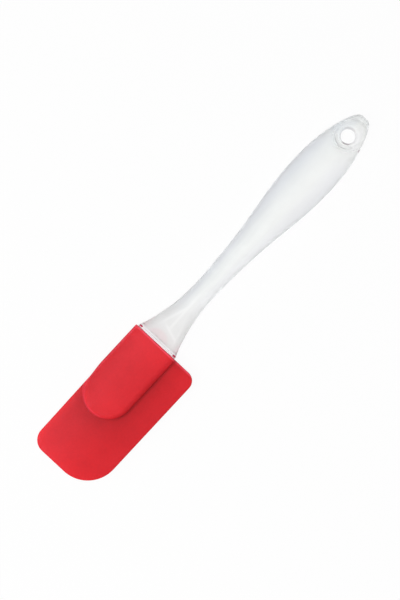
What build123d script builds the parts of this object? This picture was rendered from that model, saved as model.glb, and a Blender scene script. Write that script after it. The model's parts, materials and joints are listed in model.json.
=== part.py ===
from build123d import *
import os

# A kitchen spatula in two pieces: a clear moulded handle that ends in a flat tongue, and a soft
# silicone head pushed on over the tongue. Sizes are in millimetres. The origin is the centre of the
# hanging hole. +X runs along the handle to the head's free edge, +Y to the head's wide side, and +Z
# up, square to the flat of the head. Both pieces are alike above and below Z = 0.

# Handle, places along X
tip_reach = 13.6
grip_place = 30.0
neck_place = 111.5
collar_place = 150.1

# Handle, widths along Y and thicknesses along Z
hole_place_width = 19.0
hole_place_thickness = 11.2
grip_width = 26.2
grip_thickness = 15.6
neck_width = 12.5
neck_thickness = 10.0
root_width = 26.1
root_thickness = 8.8

# Collar, the thin rim that the head is pushed up against
collar_length = 1.5
collar_lip = 0.2
collar_edge_radius = 0.4

# Hanging hole, and the flats around it with the scoops that rise from them
hole_radius = 4.05
hole_edge_radius = 1.0
flat_thickness = 7.6
flat_reach = 5.2
scoop_radius = 4.2

# Tongue, the part of the handle inside the head
tongue_length = 49.4
tongue_width = 24.4
tongue_root_thickness = 4.4
tongue_end_thickness = 2.8
tongue_edge_radius = 0.9

# Head, its blade
head_length = 84.7
wide_side = 29.8
narrow_side_at_mouth = 14.3
narrow_side_at_end = 13.2
blade_mouth_thickness = 2.8
blade_end_thickness = 1.8
rim_radius = 0.7
shoulder_corner_radius = 5.9
narrow_corner_radius = 8.0
wide_corner_radius = 19.0

# Head, its socket for the tongue
tongue_clearance = 0.15
collar_clearance = 0.1
socket_wall = 2.25
socket_mouth_thickness = 10.0
socket_end_thickness = 6.6
socket_shoulder_radius = 2.6
mouth_edge_radius = 0.5

# How far a cutting shape runs past what it cuts
overrun = 5.0

# The handle's outline between its named places: shares of the way along, of the width and of the
# thickness there
nose_shares = [(0.05, 0.35, 0.42), (0.28, 0.61, 0.72), (0.63, 0.828, 0.88)]
grip_rear_shares = [(0.4, 0.715, 0.55)]
grip_front_shares = [(0.27, 0.775), (0.5, 0.4), (0.75, 0.13)]
root_shares = [(0.35, 0.09), (0.66, 0.395), (0.87, 0.72)]

# How far the handle's section bulges towards its corners. About 0.552 is an ellipse.
grip_bulge_share = 0.57
root_bulge_share = 0.86
bulge_start_share = 0.2

collar_front = collar_place + collar_length
mouth_place = collar_front + collar_clearance
tongue_end = collar_front + tongue_length
free_edge_place = mouth_place + head_length
socket_half_width = tongue_width / 2 + tongue_clearance + socket_wall
socket_end = tongue_end + tongue_clearance + socket_wall


def between(start, end, share):
    """The value that lies a share of the way from start to end."""
    return start + share * (end - start)


def across(place):
    """A plane across the handle, with its own x along Y and its own y along Z."""
    return Plane(origin=(place, 0, 0), x_dir=(0, 1, 0), z_dir=(1, 0, 0))


def handle_rail():
    """A curve along the handle that holds its half width as Y and its half thickness as Z."""
    points = [(-tip_reach, 0, 0)]
    for along, wide, thick in nose_shares:
        place = between(-tip_reach, 0, along)
        points.append((place, wide * hole_place_width / 2, thick * hole_place_thickness / 2))
    points.append((0, hole_place_width / 2, hole_place_thickness / 2))
    for along, wide, thick in grip_rear_shares:
        width = between(hole_place_width, grip_width, wide)
        thickness = between(hole_place_thickness, grip_thickness, thick)
        points.append((between(0, grip_place, along), width / 2, thickness / 2))
    points.append((grip_place, grip_width / 2, grip_thickness / 2))
    for along, full in grip_front_shares:
        width = between(neck_width, grip_width, full)
        thickness = between(neck_thickness, grip_thickness, full)
        points.append((between(grip_place, neck_place, along), width / 2, thickness / 2))
    points.append((neck_place, neck_width / 2, neck_thickness / 2))
    for along, full in root_shares:
        width = between(neck_width, root_width, full)
        thickness = between(neck_thickness, root_thickness, full)
        points.append((between(neck_place, collar_place, along), width / 2, thickness / 2))
    points.append((collar_place, root_width / 2, root_thickness / 2))
    return Spline(*points, tangents=[(0, 1, 0.8), (1, 0.4, 0)], tangent_scalars=[1, 1])


def bulge_at(place):
    """How far the handle's section bulges towards its corners at a place along X."""
    start = between(neck_place, collar_place, bulge_start_share)
    rise = max(0, (place - start) / (collar_place - start))
    return between(grip_bulge_share, root_bulge_share, rise)


def handle_section(place, half_width, half_thickness):
    """A closed face across the handle, made of four alike curves."""
    bulge = bulge_at(place)
    quarter = Bezier(
        (half_width, 0),
        (half_width, bulge * half_thickness),
        (bulge * half_width, half_thickness),
        (0, half_thickness),
    )
    upper = quarter + mirror(quarter, about=Plane.YZ)
    outline = upper + mirror(upper, about=Plane.XZ)
    return across(place) * make_face(outline)


def handle_bar():
    """The smooth body from the handle's rounded tip to its collar."""
    rail = handle_rail()
    sections = [Vertex(-tip_reach, 0, 0)]
    stations = 28
    for station in range(1, stations + 1):
        point = rail @ (station / stations)
        sections.append(handle_section(point.X, point.Y, point.Z))
    return loft(sections)


def flat_cutter():
    """What is cut away above the hanging hole: a flat, and a scoop round its sides and its front."""
    flat = flat_thickness / 2
    top = flat + scoop_radius + overrun
    edge = flat_reach + scoop_radius
    outline = Polyline(
        (flat_reach, flat),
        (0, flat),
        (0, top),
        (edge, top),
        (edge, flat + scoop_radius),
    )
    outline += CenterArc((flat_reach, flat + scoop_radius), scoop_radius, -90, 90)
    half = make_face(outline)
    bowl = revolve(Plane.XZ * half, Axis.Z, 360)
    trough = extrude(across(0) * (half + mirror(half, about=Plane.YZ)), amount=-tip_reach - overrun)
    return bowl + trough


def hanging_hole(bar):
    """The bar with its two scooped flats and the rounded hole through them."""
    cutter = flat_cutter()
    bar = bar - cutter - mirror(cutter, about=Plane.XY)
    bar -= Cylinder(hole_radius, flat_thickness + 2 * overrun)
    rims = bar.edges().filter_by(GeomType.CIRCLE).group_by(SortBy.RADIUS)[0]
    return fillet(rims, hole_edge_radius)


def collar():
    """The rim at the front of the bar."""
    face = handle_section(collar_place, root_width / 2 + collar_lip, root_thickness / 2 + collar_lip)
    rim = extrude(face, collar_length)
    ends = rim.faces().filter_by(Axis.X).edges()
    return fillet(ends, collar_edge_radius)


def stadium(start, end, half_width):
    """A flat outline on Z = 0 with a square end at start and a round one at end."""
    outline = Polyline(
        (end - half_width, half_width),
        (start, half_width),
        (start, -half_width),
        (end - half_width, -half_width),
    )
    outline += CenterArc((end - half_width, 0), half_width, -90, 180)
    return make_face(outline)


def side_wedge(start, end, start_thickness, end_thickness, half_width):
    """A wedge that is alike above and below Z = 0 and thins along X."""
    outline = Polygon(
        (start, -start_thickness / 2),
        (end, -end_thickness / 2),
        (end, end_thickness / 2),
        (start, start_thickness / 2),
        align=None,
    )
    return extrude(Plane.XZ * outline, amount=half_width, both=True)


def tongue(start, clearance):
    """The tongue from a place on its way, or with a clearance the space that it needs."""
    slope = (tongue_end_thickness - tongue_root_thickness) / tongue_length
    start_thickness = tongue_root_thickness + (start - collar_front) * slope + 2 * clearance
    end = tongue_end + clearance
    half_width = tongue_width / 2 + clearance
    end_thickness = tongue_end_thickness + clearance * (2 + slope)
    thickest = max(start_thickness, end_thickness)
    plate = extrude(stadium(start, end, half_width), amount=thickest, both=True)
    plate &= side_wedge(start, end, start_thickness, end_thickness, half_width)
    edges = plate.faces().sort_by(Axis.Z)[-1].edges() + plate.faces().sort_by(Axis.Z)[0].edges()
    rim = edges - plate.faces().sort_by(Axis.X)[0].edges()
    return fillet(rim, tongue_edge_radius + clearance)


def handle():
    """The clear moulding: grip, hanging hole, neck, collar and tongue in one."""
    body = hanging_hole(handle_bar()) + collar()
    return body + tongue(between(collar_place, collar_front, 0.5), 0)


def blade():
    """The flat of the head with its rounded corners, thinning towards the free edge."""
    corners = FilletPolyline(
        (mouth_place, -narrow_side_at_mouth),
        (free_edge_place, -narrow_side_at_end),
        (free_edge_place, wide_side),
        (mouth_place, wide_side),
        radius=[0, narrow_corner_radius, wide_corner_radius, shoulder_corner_radius],
        close=True,
    )
    slab = extrude(make_face(corners), amount=blade_mouth_thickness, both=True)
    slab &= side_wedge(
        mouth_place, free_edge_place, blade_mouth_thickness, blade_end_thickness, wide_side
    )
    rims = slab.faces().sort_by(Axis.Z)[-1].edges() + slab.faces().sort_by(Axis.Z)[0].edges()
    return fillet(rims, rim_radius)


def socket():
    """The raised sleeve that holds the tongue, before its inside is cut."""
    body = extrude(stadium(mouth_place, socket_end, socket_half_width), socket_mouth_thickness, both=True)
    body &= side_wedge(
        mouth_place, socket_end, socket_mouth_thickness, socket_end_thickness, socket_half_width
    )
    edges = body.faces().sort_by(Axis.Z)[-1].edges() + body.faces().sort_by(Axis.Z)[0].edges()
    shoulders = edges - body.faces().sort_by(Axis.X)[0].edges()
    body = fillet(shoulders, socket_shoulder_radius)
    return fillet(body.faces().sort_by(Axis.X)[0].edges(), mouth_edge_radius)


def head():
    """The silicone moulding: the blade and its socket in one."""
    body = blade() + socket()
    return body - tongue(mouth_place - overrun, tongue_clearance)


os.makedirs("parts", exist_ok=True)
for name, solid in {"handle": handle(), "head": head()}.items():
    export_step(solid, f"parts/{name}.step")
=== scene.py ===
# A clear-handled silicone spatula lying on a white table, seen from straight above
import json
import math

import bmesh
import bpy
import numpy as np
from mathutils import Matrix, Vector
from mathutils.geometry import delaunay_2d_cdt


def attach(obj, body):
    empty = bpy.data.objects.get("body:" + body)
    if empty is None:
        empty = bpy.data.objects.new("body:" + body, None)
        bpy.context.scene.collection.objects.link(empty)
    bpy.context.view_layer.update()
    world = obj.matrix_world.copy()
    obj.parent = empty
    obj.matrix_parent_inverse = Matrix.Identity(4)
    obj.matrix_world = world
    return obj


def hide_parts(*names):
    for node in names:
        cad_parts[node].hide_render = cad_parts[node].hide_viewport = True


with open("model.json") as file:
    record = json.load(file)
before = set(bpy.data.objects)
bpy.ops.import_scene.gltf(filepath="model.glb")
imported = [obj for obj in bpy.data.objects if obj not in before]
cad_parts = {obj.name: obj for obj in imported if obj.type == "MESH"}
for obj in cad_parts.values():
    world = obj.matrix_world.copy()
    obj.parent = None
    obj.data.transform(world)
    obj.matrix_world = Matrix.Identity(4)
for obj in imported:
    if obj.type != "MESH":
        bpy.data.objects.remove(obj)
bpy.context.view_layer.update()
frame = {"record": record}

MM = 0.001

# Sizes are in millimetres, apart from the studio's, in the frame of the part: +X runs from the
# hanging hole to the head's free edge, +Y to the head's wide side and +Z up.

# Handle, places along X
tip_reach = 13.6
grip_place = 30.0
neck_place = 111.5
collar_place = 150.1

# Handle, widths along Y and thicknesses along Z
hole_place_width = 19.0
hole_place_thickness = 11.2
grip_width = 26.2
grip_thickness = 15.578
neck_width = 12.5
neck_thickness = 10.0
root_width = 26.1
root_thickness = 8.8

# Collar, and the fine groove behind it
collar_length = 1.5
collar_lip = 0.2
collar_edge_radius = 0.4
groove_width = 0.5
groove_depth = 0.05

# Facet of the root, which starts as a point in the neck
facet_place = 121.0
facet_depth = 0.3
facet_ramp = 1.0
facet_softness = 0.12

# Hanging hole and its flats
hole_radius = frame["record"]["mounts"][0]["dims"]["r_mm"]
hole_edge_radius = 1.0
flat_thickness = 7.6
flat_reach = 5.2
scoop_radius = 4.2
scoop_steepest_share = 0.98
scoop_softness = 0.35
tip_patch_end = 14.0

# Tongue
tongue_length = 49.4
tongue_width = 24.4
tongue_root_thickness = 4.4
tongue_end_thickness = 2.8
tongue_edge_radius = 0.9

# Head
head_length = 84.7
wide_side = 29.8
narrow_side_at_mouth = 14.3
narrow_side_at_end = 13.2
blade_mouth_thickness = 2.8
blade_end_thickness = 1.8
rim_radius = 0.7
shoulder_corner_radius = 5.9
narrow_corner_radius = 8.0
wide_corner_radius = 19.0
mouth_corner_radius = 0.8
tongue_clearance = 0.15
collar_clearance = 0.1
socket_wall = 2.25
socket_mouth_thickness = 9.9
socket_end_thickness = 6.6
mouth_shoulder_width = 5.4
end_shoulder_width = 3.4
mouth_edge_radius = 0.5
socket_crown = 0.35
socket_squareness_share = 0.88
flush_share = 0.055
flush_start = 179.0
flush_end = 191.0
cutter_overrun = 4.0

# How finely the surfaces are divided
rail_steps = 4000
section_steps = 2000
ring_steps = 24
ring_spacing = 1.1
outline_spacing = 1.0
pad_spacing = 1.2
fill_spacing = 3.0
fill_clearance_share = 0.6
fill_merge_gap = 1e-6
tip_rows = 32
tip_row_crowding = 2
tip_crowding_ease = 3
fewest_corner_steps = 5
edge_steps = 6
wall_steps = 3
shoulder_steps = 14
weld_gap = 0.0005
handle_sharp_angle = 50
head_sharp_angle = 32

# Picture: its middle and height on the part, and the way that its right side has there
picture_centre = (118.85, 1.71)
picture_height = 323.4
picture_right = (-0.68122, 0.73208)

# Gap between the spatula and the table
floor_gap = 0.05

# Studio, in metres and watts
camera_distance = 1.5
camera_reach = 20.0
floor_reach = 3.0
lamp_aim = (0.16, 0.0, 0.0)
lamp_size = 0.9
lamps = [
    ("key", (0.56, -0.10, 0.95), 6.4),
    ("rim", (0.74, -0.62, 0.30), 1.4),
    ("overhead", (0.10, 0.10, 1.1), 1.8),
]
fill_strength = 0.3

# The handle's sections along X, each a place, a width and a thickness
handle_sections = [
    (-tip_reach, 0, 0),
    (0, hole_place_width, hole_place_thickness),
    (grip_place, grip_width, grip_thickness),
    (neck_place, neck_width, neck_thickness),
    (collar_place, root_width, root_thickness),
]

# The handle's outline between one section and the next: shares of the way along, and of the change
# in width and in thickness
outline_shares = [
    [(0.05, 0.35, 0.42), (0.28, 0.61, 0.72), (0.63, 0.828, 0.88)],
    [(0.4, 0.715, 0.55)],
    [(0.27, 0.225, 0.225), (0.5, 0.6, 0.6), (0.75, 0.87, 0.87)],
    [(0.35, 0.09, 0.09), (0.66, 0.395, 0.395), (0.87, 0.72, 0.72)],
]

# The outline's way at the tip and at the collar: along X, in half width and in half thickness
tip_way = (0, 1, 0.8)
collar_way = (1, 0.4, 0)

# How far the handle's section bulges towards its corners. About 0.552 is an ellipse.
grip_bulge_share = 0.57
root_bulge_share = 0.86
bulge_start_share = 0.2

collar_front = collar_place + collar_length
mouth_place = collar_front + collar_clearance
tongue_end = collar_front + tongue_length
free_edge_place = mouth_place + head_length
socket_half_width = tongue_width / 2 + tongue_clearance + socket_wall
socket_end = tongue_end + tongue_clearance + socket_wall

# Looks. A span is where a look starts and where it is full. A band is where it starts, is full,
# starts to fade and ends.

# From the darker to the lighter colour of a piece, in its clouds' noise
cloud_span = (0.3, 0.7)

# Silicone, its colours: its own, a painted sheen towards the narrow side, painted highlights at the mouth
# and the lit edge, and the slot's painted glow
silicone_dark = (0.72, 0.0215, 0.0305, 1)
silicone_light = (0.76, 0.0235, 0.033, 1)
silicone_narrow_side_sheen = (0.76, 0.037, 0.050, 1)
silicone_mouth_highlight = (0.99, 0.090, 0.135, 1)
silicone_lit_edge = (0.97, 0.070, 0.110, 1)
silicone_slot_light = (0.09, 0.003, 0.005)

# Silicone, along X
end_glow_span = (222, 236)
mouth_glow_span = (172, 153)
mouth_highlight_span = (153.2, 152.1)
slot_depth_span = (152.1, 153.0)

# Silicone, along Y
narrow_side_sheen_span = (22, -12)
shaded_side_span = (-5.0, -10.5)
side_glow_span = (-8.5, -12.8)

# Silicone, outwards from the pocket's outline
crease_span = (-1.2, 0.2)
crease_reach = 8.0
hollow_band = (-4.0, -0.4, 0.0, 1.5)
lit_edge_band = (-1.8, -0.9, -0.3, 0.3)
slot_wall_span = (-1.8, -2.2)

# Silicone, the lamp's way with spans of facing it, the pocket's painted bright spot, and the slot's height
lamp_way = (0.68, -0.73)
hollow_facing_span = (0.10, -0.5)
lit_facing_span = (0.1, 0.6)
pocket_spot = (193, 3)
pocket_spot_span = (12, 1)
slot_height_span = (2.7, 2.5)

# Silicone, how strongly each look changes its colour: painted shade, painted light, random mottling, and
# the shares of the painted highlights
crease_shade = 0.31
hollow_shade = 0.17
shaded_side_shade = 0.07
end_glow = 0.10
mouth_glow = 0.10
side_glow = 0.14
pocket_glow = 0.06
ripple_mottle = 0.11
speckle_mottle = 0.12
mouth_highlight_share = 0.9
lit_edge_share = 0.5

# Silicone, its roughness
silicone_roughness = 0.46
silicone_cloud_roughness = 0.08
silicone_grain_roughness = 0.06

# Plastic, its colours: its own, colours of painted shade, and the head's red painted in where it shows
# through
plastic_dark = (0.895, 0.899, 0.892, 1)
plastic_light = (0.918, 0.920, 0.912, 1)
blue_shade_colour = (0.825, 0.835, 0.895, 1)
grey_shade_colour = (0.882, 0.880, 0.912, 1)
tip_shade_colour = (0.700, 0.735, 0.770, 1)
painted_red_colour = (0.97, 0.46, 0.53, 1)
painted_red_spot_colour = (0.60, 0.04, 0.10, 1)
dark_shade_colour = (0.95, 0.68, 0.78, 1)
milk_colour = (0.95, 0.96, 0.95, 1)
milk_rim_colour = (0.98, 0.95, 0.96, 1)
plastic_shadow_colour = (0.66, 0.68, 0.69, 1)

# Plastic, along X
tip_taper_span = (16, -4)
tip_edge_band = (0, 5, 10, 18)
outer_rim_x_span = (-1, -4)
tip_side_band = (-11.2, -8.5, -2, 2)
tip_shade_span = (6, 2)
dark_spot_band = (0.8, 1.4, 2.4, 3.1)
blue_shade_x_span = (4, 16)
grey_shade_x_span = (8, 20)
scoop_ring_x_span = (2.4, 4.6)
neck_band = (50, 80, 118, 132)
root_span = (112, 138)
root_flare_span = (118.5, 152)
wing_x_span = (140.5, 147.5)
foot_span = (141, 149.6)
ledge_span = (147.7, 148.5)
rim_span = (148.7, 149.7)
spot_x_band = (149.9, 150.1, 150.9, 151.1)
tongue_fade = 0.2

# Plastic, along Y, or outwards from the middle on both sides
tip_taper = 4.5
tip_side_span = (0, -3)
dark_spot_span = (9.1, 9.5)
wing_span = (8.0, 11.8)
spot_band = (10.9, 11.4, 12.7, 13.1)

# Plastic, as shares of the half width from the middle
bright_side_span = (0.15, 0.90)
shaded_way_band = (-0.95, -0.68, -0.55, -0.30)
edge_span = (0.78, 1.0)
blue_shade_span = (-0.35, -0.80)
grey_shade_span = (0.20, 0.50)
tip_shade_way_span = (-0.66, -0.86)

# Plastic, outwards from the middle of the hanging hole, and upwards in its wall
clear_tip_span = (9.2, 8.6)
hole_wall_span = (5.1, 4.7)
hole_height_span = (2.6, 2.9)
halo_band = (5.0, 5.4, 6.0, 7.2)
scoop_ring_band = (5.4, 6.1, 6.8, 7.8)

# Plastic, the way from the hole to the grip's lit side, and spans of facing it and of facing away
hole_way = (0.91, 0.41)
near_crescent_span = (0.80, 0.97)
far_crescent_span = (-0.62, -0.95)

# Plastic, outwards from the middle of the tip's outline, or from a slanting line beside it
tip_middle = (-3, 1)
outer_rim_span = (7.6, 8.0)
inner_line_band = (5.8, 7.1, 7.4, 7.8)
inner_line_side_span = (0, 4)
inner_line_slope = 0.6
tip_side_rim_span = (7.9, 8.9)

# Plastic, the disc of the head's red painted over the tongue's root, outwards from its middle
disc_middle = (151.8, -1.2)
disc_span = (8.6, 6.0)

# Plastic, painted highlight lines in the root, which stand in for light reflected inside the plastic: X and
# Y of a point, slope, half width, band along X and strength. The border line runs across, with X and Y
# exchanged.
root_light_lines = [
    (127.5, -0.6, -0.34, 1.3, (124.5, 129, 137, 145), 1.0),
    (127.5, 0.1, 0.01, 1.2, (108, 130, 139, 143), 1.0),
    (130, 3.0, 0.30, 1.2, (130, 137, 146, 150), 0.6),
]
border_light_line = (0, 141.8, 0.34, 1.4, (-4.5, -1.0, 5.0, 9.5), 1.0)

# Plastic, how much each look lightens it, or with a minus darkens it. Most are painted light and shade.
root_level = -0.12
foot_level = -0.02
tip_level = -0.06
bright_side_level = 0.035
light_line_level = 0.105
ledge_level = 0.04
halo_level = 0.06
outer_rim_level = 0.12
wing_level = 0.12
inner_line_level = -0.14
dark_spot_level = -0.55
tip_edge_level = 0.055
neck_level = 0.018
neck_bright_side_level = 0.030
neck_edge_level = 0.035
neck_shaded_band_level = -0.040
veil_level = 0.11
line_level = 0.02
root_line_level = 0.06
neck_line_level = 0.22

# Plastic, how dark the painted shade of the crescents in the hole's wall is
near_crescent_shade = 0.7
far_crescent_shade = 0.25

# Plastic, how strongly each painted look colours it: the painted shades, and the head's red painted in
blue_shade_share = 0.6
grey_shade_share = 0.5
tip_shade_share = 0.8
disc_share = 0.27
wing_share = 0.46
root_painted_red_share = 0.02
foot_painted_red_share = 0.08

# Plastic, its roughness, and its share of milky plastic
skin_roughness = 0.44
cloud_roughness = 0.05
tip_roughness = -0.22
root_roughness = -0.13
outer_rim_roughness = 0.28
milky_share = 0.08
rim_milky_share = 0.85
scoop_ring_milky_share = 0.42

# Table, with painted shadow tints seen through the handle from its -Y to its +Y edge, over a half width of
# their own
table_colour = (0.96, 0.96, 0.96, 1)
tint_neck_span = (40, 105)
tint_neck_half_width = 3.8
tint_root_span = (118, 150)
tint_root_flare = 11.0
tint_tip_span = (14, -13)
tint_tip_taper = 8.8
painted_shadow_tints = [
    (0.0, (0.85, 0.885, 0.935, 1)),
    (0.35, (0.905, 0.93, 0.955, 1)),
    (0.47, (0.985, 0.995, 0.985, 1)),
    (0.66, (1.0, 1.0, 0.995, 1)),
    (0.84, (0.990, 0.980, 1.0, 1)),
]
root_shadow_tint = (0.975, 0.975, 0.975, 1)
root_shadow_tint_span = (120, 137)
root_shadow_tint_share = 0.75
table_white_share = 0.88
table_through_white_share = -0.10
table_camera_white_share = 0.06

# Sky that clear surfaces see, with spans of a direction's parts
sky_height_span = (0.0, 0.85)
sky_side_span = (0.1, -0.8)
sky_back_span = (0.0, -0.7)
sky_low_level = 0.52
sky_side_level = 0.38
sky_red_share = 0.985


def between(start, end, share):
    """The value that lies a share of the way from start to end."""
    return start + share * (end - start)


def ease(share):
    """A share that starts and ends gently."""
    share = np.clip(share, 0, 1)
    return share * share * (3 - 2 * share)


# Meshes


def unit(way):
    """A way made 1 long."""
    return np.array(way) / np.linalg.norm(way)


def smooth_curve(points, first_way, last_way, count):
    """Points along a smooth curve through the given ones, which leaves and arrives in given ways."""
    points = np.array(points, float)
    steps = np.linalg.norm(np.diff(points, axis=0), axis=1)
    knots = np.concatenate([[0], np.cumsum(steps)])
    size = len(points)
    system = np.eye(size)
    slopes = np.zeros_like(points)
    slopes[0] = unit(first_way)
    slopes[-1] = unit(last_way)
    for i in range(1, size - 1):
        before, after = steps[i - 1], steps[i]
        system[i, i - 1 : i + 2] = after, 2 * (before + after), before
        rise = (points[i] - points[i - 1]) * after / before + (points[i + 1] - points[i]) * before / after
        slopes[i] = 3 * rise
    slopes = np.linalg.solve(system, slopes)
    at = np.linspace(0, knots[-1], count)
    left = np.clip(np.searchsorted(knots, at, side="right") - 1, 0, size - 2)
    span = steps[left][:, None]
    t = ((at - knots[left]) / steps[left])[:, None]
    return (
        (2 * t**3 - 3 * t**2 + 1) * points[left]
        + (t**3 - 2 * t**2 + t) * span * slopes[left]
        + (3 * t**2 - 2 * t**3) * points[left + 1]
        + (t**3 - t**2) * span * slopes[left + 1]
    )


def handle_rail():
    """Place, half width and half thickness of the handle, at many steps from its tip to its collar."""
    sections = np.array(handle_sections, float)
    points = [sections[0]]
    for start, end, shares in zip(sections, sections[1:], outline_shares):
        points += [between(start, end, np.array(share)) for share in shares]
        points.append(end)
    return smooth_curve(np.array(points) / (1, 2, 2), tip_way, collar_way, rail_steps)


rail = handle_rail()


def half_width_at(place):
    return np.interp(place, rail[:, 0], rail[:, 1])


def half_thickness_at(place):
    return np.interp(place, rail[:, 0], rail[:, 2])


def bulge_at(place):
    """How far the handle's section bulges towards its corners at a place along X."""
    start = between(neck_place, collar_place, bulge_start_share)
    rise = np.clip((place - start) / (collar_place - start), 0, 1)
    return between(grip_bulge_share, root_bulge_share, rise)


def quarter_curve(bulge, t):
    """Shares of the half width and half thickness along a quarter of the handle's section."""
    wide = (1 - t) ** 3 + 3 * (1 - t) ** 2 * t + 3 * (1 - t) * t**2 * bulge
    high = 3 * (1 - t) ** 2 * t * bulge + 3 * (1 - t) * t**2 + t**3
    return wide, high


def upper_section(place, half_width, half_thickness, steps):
    """The upper half of the handle's section, from its +Y edge over the top to its -Y edge."""
    wide, high = quarter_curve(bulge_at(place), np.linspace(0, 1, steps + 1))
    across = np.concatenate([wide, -wide[-2::-1]]) * half_width
    up = np.concatenate([high, high[-2::-1]]) * half_thickness
    return np.stack([np.full_like(across, place), across, up], axis=1)


def scoop_height(place, across):
    """Height of the flat round the hanging hole, and of the round scoop that rises from it."""
    run = np.hypot(np.clip(place, 0, None), across) - flat_reach
    climb = np.clip(run, 0, scoop_radius * scoop_steepest_share)
    rise = scoop_radius - np.sqrt(scoop_radius**2 - climb**2)
    return flat_thickness / 2 + rise + np.clip(run - climb, 0, None) * grip_thickness


def facet_height(place):
    """Height of the flat facet that widens from the neck to the collar."""
    share = (place - facet_place) / (collar_place - facet_place)
    rise = facet_depth * ease((place - collar_place + facet_ramp) / facet_ramp)
    return between(neck_thickness / 2, root_thickness / 2 - facet_depth, share) + rise


def soft_lower(first, second, softness):
    """The lower of two heights, with the crease between them rounded."""
    apart = np.clip(softness - np.abs(first - second), 0, None)
    return np.minimum(first, second) - apart**2 / (4 * softness)


def handle_height(place, across):
    """Height of the handle's upper surface over a point of its outline near the hanging hole."""
    wide, high = quarter_curve(grip_bulge_share, np.linspace(0, 1, section_steps))
    share = np.clip(np.abs(across) / np.maximum(half_width_at(place), weld_gap), 0, 1)
    full = half_thickness_at(place) * np.interp(share, wide[::-1], high[::-1])
    return soft_lower(full, scoop_height(place, across), scoop_softness)


def ring(place, offset=0):
    """The upper half of the handle's section, grown by an offset, with the facet of the root cut in."""
    half_width = half_width_at(place) + offset
    half_thickness = half_thickness_at(place) + offset
    points = upper_section(place, half_width, half_thickness, ring_steps)
    if facet_place < place < collar_place:
        facet = facet_height(place) + min(offset, 0)
        points[:, 2] = soft_lower(points[:, 2], facet, facet_softness)
    return points


def patch(points, closed=False):
    """A grid of points as corners and faces. A closed patch joins its last column to its first."""
    rows, columns = points.shape[:2]
    corners = points.reshape(-1, 3)
    faces = []
    for row in range(rows - 1):
        for column in range(columns if closed else columns - 1):
            after = (column + 1) % columns
            face = (row, column), (row, after), (row + 1, after), (row + 1, column)
            faces.append(tuple(i * columns + j for i, j in face))
    return corners, faces


def weld(mesh):
    """Joins corners that meet, and removes faces without a size."""
    bmesh.ops.remove_doubles(mesh, verts=mesh.verts[:], dist=weld_gap * MM)
    bmesh.ops.dissolve_degenerate(mesh, edges=mesh.edges[:], dist=weld_gap * MM)


def mirrored(part):
    """The same patch below Z = 0."""
    corners, faces = part
    return corners * (1, 1, -1), [face[::-1] for face in faces]


def welded_mesh(parts):
    """One closed bmesh, in metres, of patches that meet at their edges."""
    mesh = bmesh.new()
    for corners, faces in parts:
        made = [mesh.verts.new(Vector(corner) * MM) for corner in corners]
        for face in faces:
            mesh.faces.new([made[i] for i in face])
    weld(mesh)
    bmesh.ops.recalc_face_normals(mesh, faces=mesh.faces[:])
    return mesh


def filled_loop(loop, height, spacing):
    """Faces that fill a closed loop, with their corners at a height that depends on the place."""
    flat = [Vector((x, y)) for x, y, _ in loop]
    low = loop.min(axis=0)
    high = loop.max(axis=0)
    inner = []
    for x in np.arange(low[0] + spacing / 2, high[0], spacing):
        for y in np.arange(low[1] + spacing / 2, high[1], spacing):
            to_edge = np.min(np.hypot(loop[:, 0] - x, loop[:, 1] - y))
            if inside(x, y, loop) and to_edge > spacing * fill_clearance_share:
                inner.append(Vector((x, y)))
    edges = [(i, (i + 1) % len(flat)) for i in range(len(flat))]
    corners, _, faces, _, _, _ = delaunay_2d_cdt(flat + inner, edges, [], 1, fill_merge_gap)
    places = np.array([tuple(corner) for corner in corners])
    heights = height(places[:, 0], places[:, 1])
    points = np.column_stack([places, heights])
    return points, [tuple(face) for face in faces]


def inside(x, y, loop):
    """Whether a point lies inside a closed loop."""
    x0, y0 = loop[:, 0], loop[:, 1]
    x1, y1 = np.roll(x0, -1), np.roll(y0, -1)
    crosses = (y0 > y) != (y1 > y)
    with np.errstate(divide="ignore", invalid="ignore"):
        at = x0 + (y - y0) * (x1 - x0) / (y1 - y0)
    return bool(np.count_nonzero(crosses & (x < at)) % 2)


def both_halves(patches):
    """Patches above Z = 0 together with their mirror images below it."""
    return patches + [mirrored(part) for part in patches]


def blend_rows(first, last, shares):
    """Rows of points between two rows, at given shares of the way."""
    return np.stack([between(first, last, share) for share in shares])


def rounded_edge(first_turn=0.0):
    """Points of a rounded edge, as shares of its radius in from one side and from the other."""
    turns = np.linspace(first_turn, math.pi / 2, edge_steps + 1)
    return np.column_stack([1 - np.cos(turns), 1 - np.sin(turns)])


# Handle


def tip_loop():
    """The edge of the handle's tip, from the first ring's +Y end round the tip, then back over the ring."""
    side = rail[rail[:, 0] < tip_patch_end]
    first = ring(tip_patch_end)
    side = np.vstack([side[:, :2], first[0, :2]])
    steps = np.concatenate([[0], np.cumsum(np.linalg.norm(np.diff(side, axis=0), axis=1))])
    at = np.linspace(steps[-1], 0, round(steps[-1] / outline_spacing) + 1)
    near = np.column_stack([np.interp(at, steps, side[:, 0]), np.interp(at, steps, side[:, 1])])
    near[-1] = -tip_reach, 0
    far = near[-2::-1] * (1, -1)
    outline = np.vstack([near, far])
    outline = np.column_stack([outline, np.zeros(len(outline))])
    return np.vstack([outline, first[-2:0:-1]])


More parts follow.
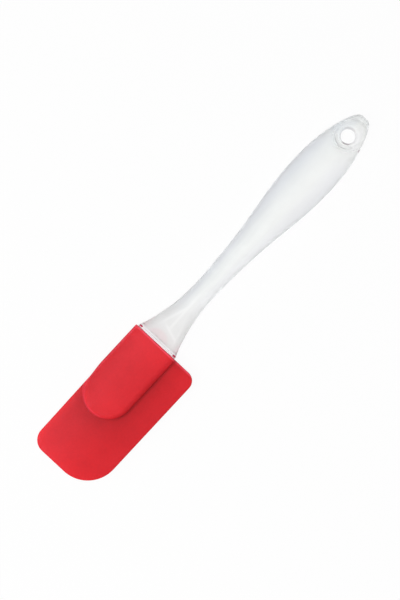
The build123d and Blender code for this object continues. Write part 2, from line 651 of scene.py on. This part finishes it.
def tip_patches():
    """The handle's tip round the hanging hole, with the hole's edge and wall."""
    loop = tip_loop()
    way = loop[:, :2] / np.linalg.norm(loop[:, :2], axis=1)[:, None]
    hole_edge = way * (hole_radius + hole_edge_radius)
    # Points crowd towards the outline, where the surface turns down steeply
    share_across_ring = np.abs(loop[:, 1]) / half_width_at(tip_patch_end)
    over_ring = np.isclose(loop[:, 0], tip_patch_end) * (1 - share_across_ring)
    power = tip_row_crowding - ease(over_ring * tip_crowding_ease)
    rows = []
    for share in np.linspace(0, 1, tip_rows + 1):
        flat = between(loop[:, :2], hole_edge, (share**power)[:, None])
        rows.append(np.column_stack([flat, handle_height(flat[:, 0], flat[:, 1])]))
    rows[0] = loop
    edge_height = rows[-1][:, 2]
    for sink, out in rounded_edge()[1:] * hole_edge_radius:
        rows.append(np.column_stack([way * (hole_radius + out), edge_height - sink]))
    wall_height = rows[-1][:, 2]
    for share in np.linspace(1, 0, wall_steps + 1)[1:]:
        rows.append(np.column_stack([way * hole_radius, wall_height * share]))
    return [patch(np.stack(rows), closed=True)]


def collar_profile():
    """Places and offsets of the rings over the groove and the collar."""
    groove = [(collar_place - groove_width * back, -groove_depth * sink) for sink, back in rounded_edge()]
    first_turn = math.asin(1 - (collar_lip + groove_depth) / collar_edge_radius)
    rise = rounded_edge(first_turn) * collar_edge_radius
    fall = rounded_edge()[::-1] * collar_edge_radius
    back_edge = [(collar_place + inset, collar_lip - drop) for inset, drop in rise]
    front_edge = [(collar_front - inset, collar_lip - drop) for inset, drop in fall]
    return groove + back_edge + front_edge


def tongue_half(start, clearance):
    """Upper half of the flat tongue, or of the space for it, and the row of points at its root."""
    radius = tongue_edge_radius + clearance
    slope = (tongue_root_thickness - tongue_end_thickness) / 2 / tongue_length

    def height(place, across):
        return tongue_root_thickness / 2 + clearance - slope * (place - collar_front)

    def profile(place):
        full = height(place, 0)
        wall = [(0, share * (full - radius) / full) for share in np.linspace(0, 1, wall_steps)[:-1]]
        fall = radius / full
        return wall + [(radius * inset, 1 - fall * drop) for inset, drop in rounded_edge()]

    half_width = tongue_width / 2 + clearance
    across = 2 * ring_steps - 2 * (wall_steps + edge_steps - 1)
    return pad_half(start, tongue_end + clearance - half_width, half_width, profile, height, across)


def pad_half(start, centre, half_width, profile, height, across):
    """Upper half of a pad with a round end: patches for its edge and its top, and its first section.

    The pad runs along X from a start to a centre, about which its end is round. The profile gives
    each point's inset and share of the height up the edge, and across is the steps over the top.
    """
    places = np.linspace(start, centre, max(2, round((centre - start) / pad_spacing)) + 1)
    path = [(place, half_width, 0, -1) for place in places[:-1]]
    turns = np.linspace(math.pi / 2, -math.pi / 2, 2 * round(half_width * math.pi / 2 / pad_spacing) + 1)
    for turn in turns:
        out_x, out_y = math.cos(turn), math.sin(turn)
        path.append((centre + half_width * out_x, half_width * out_y, -out_x, -out_y))
    path += [(place, -half_width, 0, 1) for place in places[-2::-1]]
    columns = []
    for x, y, way_x, way_y in path:
        points = [(x + way_x * inset, y + way_y * inset, share) for inset, share in profile(x)]
        columns.append([(px, py, share * height(px, py)) for px, py, share in points])
    edge = np.array(columns).transpose(1, 0, 2)
    top = edge[-1]
    half = len(top) // 2
    rows = []
    for left, right in zip(top[: half + 1], top[: half - 1 : -1]):
        row = blend_rows(left, right, np.linspace(0, 1, across + 1))
        row[:, 2] = [height(px, py) for px, py, _ in row]
        rows.append(row)
    first = np.vstack([edge[:, 0], rows[0][1:-1], edge[::-1, -1]])
    return [patch(edge), patch(np.stack(rows))], first


def handle_mesh():
    """The whole handle: tip, grip, neck, root, collar and tongue."""
    patches = tip_patches()
    count = round((collar_place - tip_patch_end) / ring_spacing)
    places = np.linspace(tip_patch_end, collar_place - groove_width, count)
    rings = [ring(place) for place in places[:-1]]
    rings += [ring(place, offset) for place, offset in collar_profile()]
    tongue, root = tongue_half(collar_front, 0)
    rings += list(blend_rows(rings[-1], root, np.linspace(0, 1, wall_steps + 1)[1:]))
    patches.append(patch(np.stack(rings)))
    patches += tongue
    return welded_mesh(both_halves(patches))


# Head


def rounded_loop(corners, radii, spacing):
    """Points round a closed outline with rounded corners, each with its way inwards."""
    points = []
    ways = []
    count = len(corners)
    for i in range(count):
        corner = np.array(corners[i], float)
        before = unit(corners[i - 1] - corner)
        after = unit(corners[(i + 1) % count] - corner)
        half_turn = math.acos(np.clip(before @ after, -1, 1)) / 2
        middle = unit(before + after)
        centre = corner + middle * radii[i] / math.sin(half_turn)
        first = corner + before * radii[i] / math.tan(half_turn) - centre
        last = corner + after * radii[i] / math.tan(half_turn) - centre
        start = math.atan2(first[1], first[0])
        sweep = (math.atan2(last[1], last[0]) - start + math.pi) % (2 * math.pi) - math.pi
        if points:
            add_straight(points, ways, centre + first, spacing)
        steps = max(fewest_corner_steps, math.ceil(radii[i] * abs(sweep) / spacing))
        for turn in np.linspace(start, start + sweep, steps + 1):
            way = np.array((math.cos(turn), math.sin(turn)))
            points.append(centre + way * radii[i])
            ways.append(-way)
    add_straight(points, ways, points[0], spacing)
    return np.array(points), np.array(ways)


def add_straight(points, ways, end, spacing):
    """Adds the points between the last one and an end, both left out."""
    start = points[-1]
    steps = max(1, math.ceil(np.linalg.norm(end - start) / spacing))
    for share in np.linspace(0, 1, steps + 1)[1:-1]:
        points.append(between(start, end, share))
        ways.append(ways[-1])


def blade_mesh():
    """The flat blade, a thin wedge with a rounded rim."""
    corners = [
        (mouth_place, wide_side),
        (mouth_place, -narrow_side_at_mouth),
        (free_edge_place, -narrow_side_at_end),
        (free_edge_place, wide_side),
    ]
    radii = [shoulder_corner_radius, mouth_corner_radius, narrow_corner_radius, wide_corner_radius]
    loop, ways = rounded_loop(corners, radii, outline_spacing)

    def height(place, across):
        share = (place - mouth_place) / head_length
        return between(blade_mouth_thickness, blade_end_thickness, share) / 2

    rows = []
    for share in np.linspace(0, 1, wall_steps)[:-1]:
        rows.append(np.column_stack([loop, share * (height(loop[:, 0], 0) - rim_radius)]))
    for inset, drop in rounded_edge() * rim_radius:
        flat = loop + ways * inset
        rows.append(np.column_stack([flat, height(flat[:, 0], 0) - drop]))
    top = filled_loop(rows[-1], height, fill_spacing)
    return welded_mesh(both_halves([patch(np.stack(rows), closed=True), top]))


def socket_mesh():
    """The raised pocket that takes the tongue, with soft shoulders and a rounded mouth."""
    slope = (socket_mouth_thickness - socket_end_thickness) / 2 / (socket_end - mouth_place)

    def height(place, across):
        full = socket_mouth_thickness / 2 - slope * (place - mouth_place)
        return full - socket_crown * (across / socket_half_width) ** 2

    def profile(place):
        along = ease((place - mouth_place) / (socket_end - mouth_place))
        shoulder = between(mouth_shoulder_width, end_shoulder_width, along)
        power = socket_squareness_share
        turns = np.linspace(0, math.pi / 2, shoulder_steps + 1)
        return [(shoulder * (1 - math.cos(turn) ** power), math.sin(turn) ** power) for turn in turns]

    start = mouth_place + mouth_edge_radius
    centre = socket_end - socket_half_width
    patches, first = pad_half(start, centre, socket_half_width, profile, height, 2 * ring_steps)
    rows = [first]
    for inset, back in rounded_edge()[1:] * mouth_edge_radius:
        row = first.copy()
        row[:, 0] = mouth_place + back
        row[:, 1] *= 1 - inset / socket_half_width
        row[:, 2] *= 1 - inset / height(start, 0)
        rows.append(row)
    for share in np.linspace(1, 0, wall_steps + 1)[1:]:
        rows.append(rows[edge_steps] * (1, 1, share))
    patches.append(patch(np.stack(rows)))
    for corners, _ in patches:
        pull = flush_share * ease((corners[:, 0] - flush_start) / (flush_end - flush_start))
        corners[:, 1] *= 1 - pull * (corners[:, 1] < 0)
    return welded_mesh(both_halves(patches))


def tongue_space_mesh():
    """The space that the tongue fills, longer than the pocket's mouth so that it cuts clear."""
    start = mouth_place - cutter_overrun
    patches, first = tongue_half(start, tongue_clearance)
    patches.append(patch(blend_rows(first, first * (1, 1, 0), np.linspace(0, 1, wall_steps + 1))))
    return welded_mesh(both_halves(patches))


# Pieces


def add_object(name, data):
    """Adds an object to the scene."""
    made = bpy.data.objects.new(name, data)
    bpy.context.collection.objects.link(made)
    return made


def add_mesh(name, mesh):
    """Adds an object that holds a bmesh."""
    data = bpy.data.meshes.new(name)
    mesh.to_mesh(data)
    mesh.free()
    return add_object(name, data)


def cut_with(piece, operation, tool):
    """Joins or cuts a piece with a tool, which goes."""
    modifier = piece.modifiers.new(operation, "BOOLEAN")
    modifier.operation = operation
    modifier.solver = "EXACT"
    modifier.object = tool
    result = bpy.data.meshes.new_from_object(piece.evaluated_get(bpy.context.evaluated_depsgraph_get()))
    piece.modifiers.clear()
    piece.data = result
    bpy.data.objects.remove(tool)


def finish_surface(piece, sharp_angle):
    """Clean faces with smooth shading that stays crisp at the sharp edges."""
    mesh = bmesh.new()
    mesh.from_mesh(piece.data)
    weld(mesh)
    bmesh.ops.triangulate(mesh, faces=[face for face in mesh.faces if len(face.verts) > 4])
    bmesh.ops.recalc_face_normals(mesh, faces=mesh.faces[:])
    mesh.to_mesh(piece.data)
    mesh.free()
    piece.data.shade_smooth()
    piece.data.set_sharp_from_angle(angle=math.radians(sharp_angle))


def make_handle():
    piece = add_mesh("clear_handle", handle_mesh())
    finish_surface(piece, handle_sharp_angle)
    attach(piece, "handle_body")
    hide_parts("handle")
    return piece


def make_head():
    piece = add_mesh("silicone_head", blade_mesh())
    cut_with(piece, "UNION", add_mesh("pocket", socket_mesh()))
    cut_with(piece, "DIFFERENCE", add_mesh("tongue_space", tongue_space_mesh()))
    finish_surface(piece, head_sharp_angle)
    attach(piece, "head_body")
    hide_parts("head")
    return piece


# Materials


class Wire:
    """A socket of a shader. Arithmetic on it adds Math nodes."""

    def __init__(self, shader, socket):
        self.shader = shader
        self.socket = socket

    def __add__(self, other):
        return self.shader.math("ADD", self, other)

    def __sub__(self, other):
        return self.shader.math("SUBTRACT", self, other)

    def __rsub__(self, other):
        return self.shader.math("SUBTRACT", other, self)

    def __mul__(self, other):
        return self.shader.math("MULTIPLY", self, other)

    def __truediv__(self, other):
        return self.shader.math("DIVIDE", self, other)

    def __abs__(self):
        return self.shader.math("ABSOLUTE", self)

    __radd__ = __add__
    __rmul__ = __mul__


def set_stops(ramp, stops):
    """Gives a colour ramp its stops, each a position and a colour."""
    for element in list(ramp.elements)[1:]:
        ramp.elements.remove(element)
    ramp.elements[0].position, ramp.elements[0].color = stops[0]
    for position, colour in stops[1:]:
        ramp.elements.new(position).color = colour


class Shader:
    """The nodes of one material, or of the world."""

    def __init__(self, owner):
        owner.use_nodes = True
        self.tree = owner.node_tree
        self.tree.nodes.clear()

    def node(self, kind, settings=None, inputs=None, output=0):
        """Adds a node, and gives the wire of one of its outputs."""
        made = self.tree.nodes.new("ShaderNode" + kind)
        for name, value in (settings or {}).items():
            if name == "stops":
                set_stops(made.color_ramp, value)
            else:
                setattr(made, name, value)
        for name, value in (inputs or {}).items():
            if isinstance(value, Wire):
                self.tree.links.new(value.socket, made.inputs[name])
            else:
                made.inputs[name].default_value = value
        return Wire(self, made.outputs[output]) if made.outputs else made

    def math(self, operation, first, second=0.0):
        return self.node("Math", {"operation": operation}, {0: first, 1: second})

    def larger(self, first, second):
        return self.math("MAXIMUM", first, second)

    def distance(self, x, y):
        return self.math("SQRT", x * x + y * y)

    def spread(self, value, low, high, start=0.0, end=1.0):
        """A value mapped smoothly from one range to another, and held to the new range."""
        settings = {"interpolation_type": "SMOOTHSTEP"}
        inputs = {"Value": value, "From Min": low, "From Max": high, "To Min": start, "To Max": end}
        return self.node("MapRange", settings, inputs)

    def band(self, value, start, full, fade, end):
        """1 where a value lies from full to fade, and 0 before start and after end."""
        return self.spread(value, start, full) * self.spread(value, end, fade)

    def place(self):
        """The point of the surface, in metres in the frame of the part."""
        return self.node("TexCoord", output="Object")

    def axes(self):
        """X, Y and Z of the point of the surface, in millimetres."""
        return [self.node("SeparateXYZ", {}, {0: self.place()}, axis) / MM for axis in range(3)]

    def noise(self, scale, detail, roughness=0.5, stretch=(1, 1, 1)):
        """Noise whose grains are a given number to the metre."""
        spot = self.node("Mapping", {}, {"Vector": self.place(), "Scale": stretch})
        inputs = {"Vector": spot, "Scale": scale, "Detail": detail, "Roughness": roughness}
        return self.node("TexNoise", {}, inputs)

    def mark(self, along, across, start, middle, slope, width, band, strength):
        """A soft line over the surface, through a middle at a start, which fades at both ends."""
        apart = abs(across - (along - start) * slope - middle)
        return self.spread(apart, width, 0.0) * self.band(along, *band) * strength

    def mix_colours(self, factor, first, second):
        return self.node("Mix", {"data_type": "RGBA"}, {0: factor, 6: first, 7: second}, 2)

    def scale_colour(self, colour, level):
        return self.node("VectorMath", {"operation": "SCALE"}, {0: colour, "Scale": level})

    def bump(self, height, distance, strength, normal=None):
        """A bump of a given depth in millimetres, on another one if that is given."""
        inputs = {"Height": height, "Distance": distance * MM, "Strength": strength}
        if normal:
            inputs["Normal"] = normal
        return self.node("Bump", {}, inputs)

    def rays(self, kind):
        """1 for rays of a kind, such as Camera or Transmission."""
        return self.node("LightPath", output=f"Is {kind} Ray")

    def seen_directly(self):
        """1 for rays from the camera, and for those mirrored or let through by a surface."""
        seen = self.rays("Camera") + self.rays("Glossy") + self.rays("Transmission")
        return self.math("MINIMUM", seen, 1.0)


def silicone_light_and_shade(shader, x, y):
    """The silicone's painted light and shade as a level of its colour, the mask of its painted lit edge
    highlight, and the way outwards from the pocket.
    """
    past = shader.larger(x - (socket_end - socket_half_width), 0.0)
    outwards = shader.distance(past, y) - socket_half_width
    outside = shader.spread(outwards, *crease_span)
    near = shader.math("EXPONENT", shader.larger(outwards, 0.0) * (-1 / crease_reach))
    facing = (past * lamp_way[0] + y * lamp_way[1]) / shader.larger(outwards + socket_half_width, 1.0)
    hollow = shader.band(outwards, *hollow_band) * shader.spread(facing, *hollow_facing_span)
    lit_edge = shader.band(outwards, *lit_edge_band) * shader.spread(facing, *lit_facing_span)
    shaded_side = shader.spread(y, *shaded_side_span) * (1.0 - outside)
    # Painted shade: darker round the pocket's foot, on its side away from the lamp and along the narrow
    # side
    shade = outside * near * crease_shade + hollow * hollow_shade + shaded_side * shaded_side_shade
    to_spot = shader.distance(x - pocket_spot[0], y - pocket_spot[1])
    # Painted light: lighter towards the free end, the mouth and the narrow edge, with a painted bright spot
    # on the pocket
    glow = shader.spread(x, *end_glow_span) * end_glow + shader.spread(x, *mouth_glow_span) * mouth_glow
    glow += shader.spread(y, *side_glow_span) * outside * side_glow
    glow += shader.spread(to_spot, *pocket_spot_span) * pocket_glow
    return 1.0 - shade + glow, lit_edge, outwards


def silicone_material():
    """Matte red silicone rubber with a faint grain and a slightly uneven colour, with painted light and
    shade, painted highlights and a painted glow in the slot.
    """
    material = bpy.data.materials.new("red_silicone")
    shader = Shader(material)
    x, y, z = shader.axes()
    cloud = shader.noise(scale=38, detail=3)
    grain = shader.noise(scale=5200, detail=2)
    ripple = shader.noise(scale=160, detail=2)
    speckle = shader.noise(scale=800, detail=2)
    # Painted light and shade as a level, then random mottling on top
    level, lit_edge, outwards = silicone_light_and_shade(shader, x, y)
    level += (ripple - 0.5) * ripple_mottle + (speckle - 0.5) * speckle_mottle
    colour = shader.mix_colours(shader.spread(cloud, *cloud_span), silicone_dark, silicone_light)
    # Painted sheen: paler towards the narrow side
    colour = shader.mix_colours(shader.spread(y, *narrow_side_sheen_span), colour, silicone_narrow_side_sheen)
    # Painted highlight along the rounded rim of the pocket's mouth
    colour = shader.mix_colours(shader.spread(x, *mouth_highlight_span) * mouth_highlight_share, colour, silicone_mouth_highlight)
    # Painted highlight on the pocket's edge that faces the lamp
    colour = shader.mix_colours(lit_edge * lit_edge_share, colour, silicone_lit_edge)
    # Painted glow: the slot's walls give off a faint red light, which stands in for light through the
    # silicone
    in_slot = shader.spread(abs(z), *slot_height_span) * shader.spread(outwards, *slot_wall_span)
    in_slot *= shader.spread(x, *slot_depth_span)
    normal = shader.bump(ripple, distance=0.12, strength=0.6)
    normal = shader.bump(grain, distance=0.012, strength=0.6, normal=normal)
    roughness = silicone_roughness + cloud * silicone_cloud_roughness + grain * silicone_grain_roughness
    inputs = {
        "Base Color": shader.scale_colour(colour, level),
        "Roughness": roughness,
        "Normal": normal,
        "IOR": 1.42,
        "Subsurface Weight": 0.3,
        "Subsurface Radius": (1.0, 0.25, 0.2),
        "Subsurface Scale": 2 * MM,
        "Specular IOR Level": 0.10,
        "Emission Color": shader.scale_colour(silicone_slot_light, in_slot),
        "Emission Strength": 1.0,
        "Sheen Weight": 0.04,
        "Sheen Roughness": 0.3,
    }
    surface = shader.node("BsdfPrincipled", {}, inputs)
    shader.node("OutputMaterial", {}, {"Surface": surface})
    return material


def share_across(shader, x, y):
    """How far a point lies from the handle's middle, as a share of its half width there."""
    half_width = shader.spread(x, grip_place, neck_place, grip_width / 2, neck_width / 2)
    half_width += shader.spread(x, *root_flare_span, 0.0, (root_width - neck_width) / 2)
    half_width -= shader.spread(x, *tip_taper_span, 0.0, tip_taper)
    return y / half_width


def hole_looks(shader, x, y, z):
    """Masks round the hanging hole: crescents of painted shade in its wall, a painted pale halo and a milky
    ring in the scoop.
    """
    to_hole = shader.distance(x, y)
    facing = (x * hole_way[0] + y * hole_way[1]) / to_hole
    wall = shader.spread(to_hole, *hole_wall_span) * shader.spread(z, *hole_height_span)
    near = shader.spread(facing, *near_crescent_span) * near_crescent_shade
    far = shader.spread(facing, *far_crescent_span) * far_crescent_shade
    halo = shader.band(to_hole, *halo_band)
    ring = shader.band(to_hole, *scoop_ring_band) * shader.spread(x, *scoop_ring_x_span)
    return wall * (near + far), halo, ring


def tip_looks(shader, x, y, way):
    """Masks of the tip's painted light and shade: its lighter outer rim, the dark line inside it, the grey
    band of its side and a small dark spot.
    """
    back = x - tip_middle[0]
    outwards = shader.distance(back, y - tip_middle[1])
    outer = shader.spread(outwards, *outer_rim_span) * shader.spread(x, *outer_rim_x_span)
    inner = shader.band(outwards, *inner_line_band)
    inner *= shader.spread(y * inner_line_slope - back, *inner_line_side_span)
    side = shader.spread(outwards, *tip_side_rim_span) * shader.spread(y, *tip_side_span)
    side *= shader.band(x, *tip_side_band)
    beside_hole = shader.spread(way, *tip_shade_way_span) * shader.spread(x, *tip_shade_span)
    dark_spot = shader.spread(y, *dark_spot_span) * shader.band(x, *dark_spot_band)
    return outer, inner, shader.larger(beside_hole, side), dark_spot


def red_looks(shader, x, y, root, foot):
    """Masks of the head's red painted into the root as if seen through: the lighter wings at its sides, the
    whole pink tint and two red spots.
    """
    disc = shader.spread(shader.distance(x - disc_middle[0], y - disc_middle[1]), *disc_span)
    wings = shader.spread(abs(y), *wing_span) * shader.spread(x, *wing_x_span)
    painted_red = shader.larger(disc * disc_share, wings * wing_share)
    painted_red = shader.larger(painted_red, root * root_painted_red_share + foot * foot_painted_red_share)
    painted_red_spots = shader.band(abs(y), *spot_band) * shader.band(x, *spot_x_band)
    return wings, painted_red, painted_red_spots


def grip_light(shader, x, way, root, neck):
    """Painted light and shade that run along the handle: its brighter side, its lighter edges, a shaded
    band in the neck, and fine streaks along its length.
    """
    lines = shader.noise(scale=420, detail=2, roughness=0.55, stretch=(0.12, 1, 0.5))
    veil = shader.noise(scale=300, detail=3, roughness=0.55, stretch=(0.5, 1, 1))
    bright_side = shader.spread(way, *bright_side_span)
    shaded_band = shader.band(way, *shaded_way_band)
    edges = shader.spread(abs(way), *edge_span)
    level = bright_side * bright_side_level + edges * shader.band(x, *tip_edge_band) * tip_edge_level
    in_neck = bright_side * neck_bright_side_level + edges * neck_edge_level
    level += neck * (in_neck + shaded_band * neck_shaded_band_level + neck_level)
    level += (lines - 0.5) * (root * root_line_level + neck * neck_line_level + line_level)
    return level + (veil - 0.5) * veil_level


def plastic_material():
    """Clear moulded plastic with a satin skin over the grip, clearer at the tip and the root, with painted
    light and shade, and the head's red painted in where it shows through.
    """
    material = bpy.data.materials.new("clear_satin_plastic")
    shader = Shader(material)
    x, y, z = shader.axes()
    way = share_across(shader, x, y)
    cloud = shader.noise(scale=60, detail=2)
    skin = shader.noise(scale=1500, detail=3, roughness=0.6)
    flow = shader.noise(scale=90, detail=3, roughness=0.55, stretch=(0.25, 1, 1))
    tip = shader.spread(shader.distance(shader.larger(x, 0.0), y), *clear_tip_span)
    root = shader.spread(x, *root_span)
    foot = shader.spread(x, *foot_span)
    neck = shader.band(x, *neck_band)
    behind_tongue = shader.spread(x, collar_front + tongue_fade, collar_front)
    rim = shader.spread(x, *rim_span) * behind_tongue
    crescents, halo, scoop_ring = hole_looks(shader, x, y, z)
    outer, inner, tip_shade, dark_spot = tip_looks(shader, x, y, way)
    wings, painted_red, painted_red_spots = red_looks(shader, x, y, root, foot)
    # Painted highlight lines in the root
    light_line_mask = sum(shader.mark(x, y, *numbers) for numbers in root_light_lines) + shader.mark(y, x, *border_light_line)

    level = 1.0 + root * root_level + foot * foot_level + tip * tip_level
    level += grip_light(shader, x, way, root, neck)
    level += shader.math("MINIMUM", light_line_mask, 1.0) * light_line_level
    # Painted light: a lighter ledge before the collar, a pale halo round the hole and lighter wings at the
    # root's sides
    level += shader.spread(x, *ledge_span) * ledge_level + halo * halo_level + wings * wing_level
    # Painted light on the tip's outer rim, and painted shade in the line inside it, the dark spot and the
    # hole's crescents
    level += outer * outer_rim_level + inner * inner_line_level + dark_spot * dark_spot_level - crescents

    # Painted shade: bluish grey towards the -Y side and lavender grey towards the +Y side, for the table's
    # shade seen through the plastic
    blue_shade = shader.spread(way, *blue_shade_span) * shader.spread(x, *blue_shade_x_span)
    grey_shade = shader.spread(way, *grey_shade_span) * shader.spread(x, *grey_shade_x_span)
    colour = shader.mix_colours(shader.spread(cloud, *cloud_span), plastic_dark, plastic_light)
    colour = shader.mix_colours(blue_shade * (1.0 - root) * blue_shade_share, colour, blue_shade_colour)
    # Painted shade: a grey band beside the hole and along the tip's -Y side
    colour = shader.mix_colours(tip_shade * tip_shade_share, colour, tip_shade_colour)
    colour = shader.mix_colours(grey_shade * (1.0 - root) * grey_shade_share, colour, grey_shade_colour)
    # The head's red painted in where it shows through: a pink tint and two red spots at the collar's
    # corners
    colour = shader.mix_colours(painted_red * behind_tongue, colour, painted_red_colour)
    colour = shader.mix_colours(painted_red_spots, colour, painted_red_spot_colour)
    # Painted shade: dark crescents in the hole's wall and a dark spot at the tip's edge
    colour = shader.mix_colours(crescents + dark_spot, colour, dark_shade_colour)
    milk = shader.mix_colours(rim, milk_colour, milk_rim_colour)
    milk = shader.mix_colours(painted_red_spots, milk, painted_red_spot_colour)

    roughness = skin_roughness + tip * tip_roughness + root * root_roughness
    roughness += cloud * cloud_roughness + outer * outer_rim_roughness
    normal = shader.bump(flow, distance=0.3, strength=0.4)
    normal = shader.bump(skin, distance=0.02, strength=0.5, normal=normal)
    clear_inputs = {
        "Base Color": shader.scale_colour(colour, level),
        "Roughness": roughness,
        "Normal": normal,
        "IOR": 1.49,
        "Transmission Weight": 1.0,
        "Sheen Weight": 0.15,
        "Sheen Roughness": 0.3,
    }
    clear = shader.node("BsdfPrincipled", {}, clear_inputs)
    milky_inputs = {"Base Color": milk, "Roughness": 1.0, "Specular IOR Level": 0.0, "Normal": normal}
    milky = shader.node("BsdfPrincipled", {}, milky_inputs)
    milkiness = milky_share + rim * rim_milky_share + scoop_ring * scoop_ring_milky_share
    surface = shader.node("MixShader", {}, {0: milkiness, 1: clear, 2: milky})
    open_way = shader.node("BsdfTransparent", {}, {"Color": plastic_shadow_colour})
    mixed = shader.node("MixShader", {}, {0: shader.rays("Shadow"), 1: surface, 2: open_way})
    shader.node("OutputMaterial", {}, {"Surface": mixed})
    return material


def floor_material():
    """A white table top with a faint shadow, which has painted shadow tints where it is seen through the
    handle.
    """
    material = bpy.data.materials.new("white_table")
    shader = Shader(material)
    x, y, _ = shader.axes()
    width = shader.spread(x, *tint_neck_span, grip_width / 2, tint_neck_half_width)
    width += shader.spread(x, *tint_root_span, 0.0, tint_root_flare)
    width -= shader.spread(x, *tint_tip_span, 0.0, tint_tip_taper)
    # Painted shadow, darker under the handle's -Y side, which only rays through the handle see
    shadow_tint = shader.node("ValToRGB", {"stops": painted_shadow_tints}, {0: y / width * 0.5 + 0.5})
    shadow_tint = shader.mix_colours(shader.spread(x, *root_shadow_tint_span) * root_shadow_tint_share, shadow_tint, root_shadow_tint)
    through = shader.rays("Transmission")
    white_inputs = {
        "Base Color": (0, 0, 0, 1),
        "Roughness": 1.0,
        "Specular IOR Level": 0.0,
        "Emission Color": shader.mix_colours(through, (1, 1, 1, 1), shadow_tint),
        "Emission Strength": 1.0,
    }
    white = shader.node("BsdfPrincipled", {}, white_inputs)
    lit = shader.node("BsdfDiffuse", {}, {"Color": table_colour})
    share = shader.seen_directly() * table_white_share + through * table_through_white_share
    share += shader.rays("Camera") * table_camera_white_share
    mixed = shader.node("MixShader", {}, {0: share, 1: lit, 2: white})
    shader.node("OutputMaterial", {}, {"Surface": mixed})
    return material


# Studio


def make_floor():
    """A wide table top just under the grip's belly and the pocket's mouth."""
    head_low = socket_mouth_thickness / 2
    head_place = mouth_place + mouth_edge_radius
    belly = rail[rail[:, 0] < neck_place]
    slope = np.max((belly[:, 2] - head_low) / (head_place - belly[:, 0]))
    mesh = bmesh.new()
    corners = []
    for x, y in ((-1, -1), (1, -1), (1, 1), (-1, 1)):
        place = x * floor_reach
        height = (-head_low + slope * (place / MM - head_place) - floor_gap) * MM
        corners.append(mesh.verts.new((place, y * floor_reach, height)))
    mesh.faces.new(corners)
    floor = add_mesh("table", mesh)
    floor.data.materials.append(floor_material())


def make_lamp(name, spot, power):
    """A square soft light at a spot."""
    data = bpy.data.lights.new(name, "AREA")
    data.shape = "SQUARE"
    data.size = lamp_size
    data.energy = power
    lamp = add_object(name, data)
    lamp.location = spot
    lamp.visible_transmission = False
    lamp.rotation_euler = (Vector(lamp_aim) - Vector(spot)).to_track_quat("-Z", "Y").to_euler()


def make_world():
    """Soft grey light. The camera sees it white, and clear surfaces see it white, but greyer low down."""
    world = bpy.data.worlds.new("studio")
    bpy.context.scene.world = world
    shader = Shader(world)
    way = shader.node("TexCoord", output="Generated")
    x, y, z = (shader.node("SeparateXYZ", {}, {0: way}, axis) for axis in range(3))
    level = shader.spread(z, *sky_height_span, sky_low_level, 1.0)
    low = shader.larger(shader.spread(y, *sky_side_span), shader.spread(x, *sky_back_span))
    level = shader.larger(level + low * sky_side_level * (1.0 - z), shader.rays("Camera"))
    colour = shader.node("CombineColor", {}, {0: level * sky_red_share, 1: level, 2: level})
    fill = shader.node("Background", {}, {"Color": (1, 1, 1, 1), "Strength": fill_strength})
    seen = shader.node("Background", {}, {"Color": colour, "Strength": 1.0})
    mixed = shader.node("MixShader", {}, {0: shader.seen_directly(), 1: fill, 2: seen})
    shader.node("OutputWorld", {}, {"Surface": mixed})


def make_camera():
    """A camera straight above, turned so that the spatula lies as in the picture."""
    centre_x, centre_y = picture_centre
    turn = math.atan2(picture_right[1], picture_right[0])
    data = bpy.data.cameras.new("camera")
    data.lens = data.sensor_width * camera_distance / (picture_height * MM)
    data.clip_end = camera_reach
    camera = add_object("camera", data)
    camera.location = (centre_x * MM, centre_y * MM, camera_distance)
    camera.rotation_euler = (0, 0, turn)
    bpy.context.scene.camera = camera


make_handle().data.materials.append(plastic_material())
make_head().data.materials.append(silicone_material())
make_floor()
for lamp in lamps:
    make_lamp(*lamp)
make_world()
make_camera()
bpy.context.scene.view_settings.view_transform = "Standard"
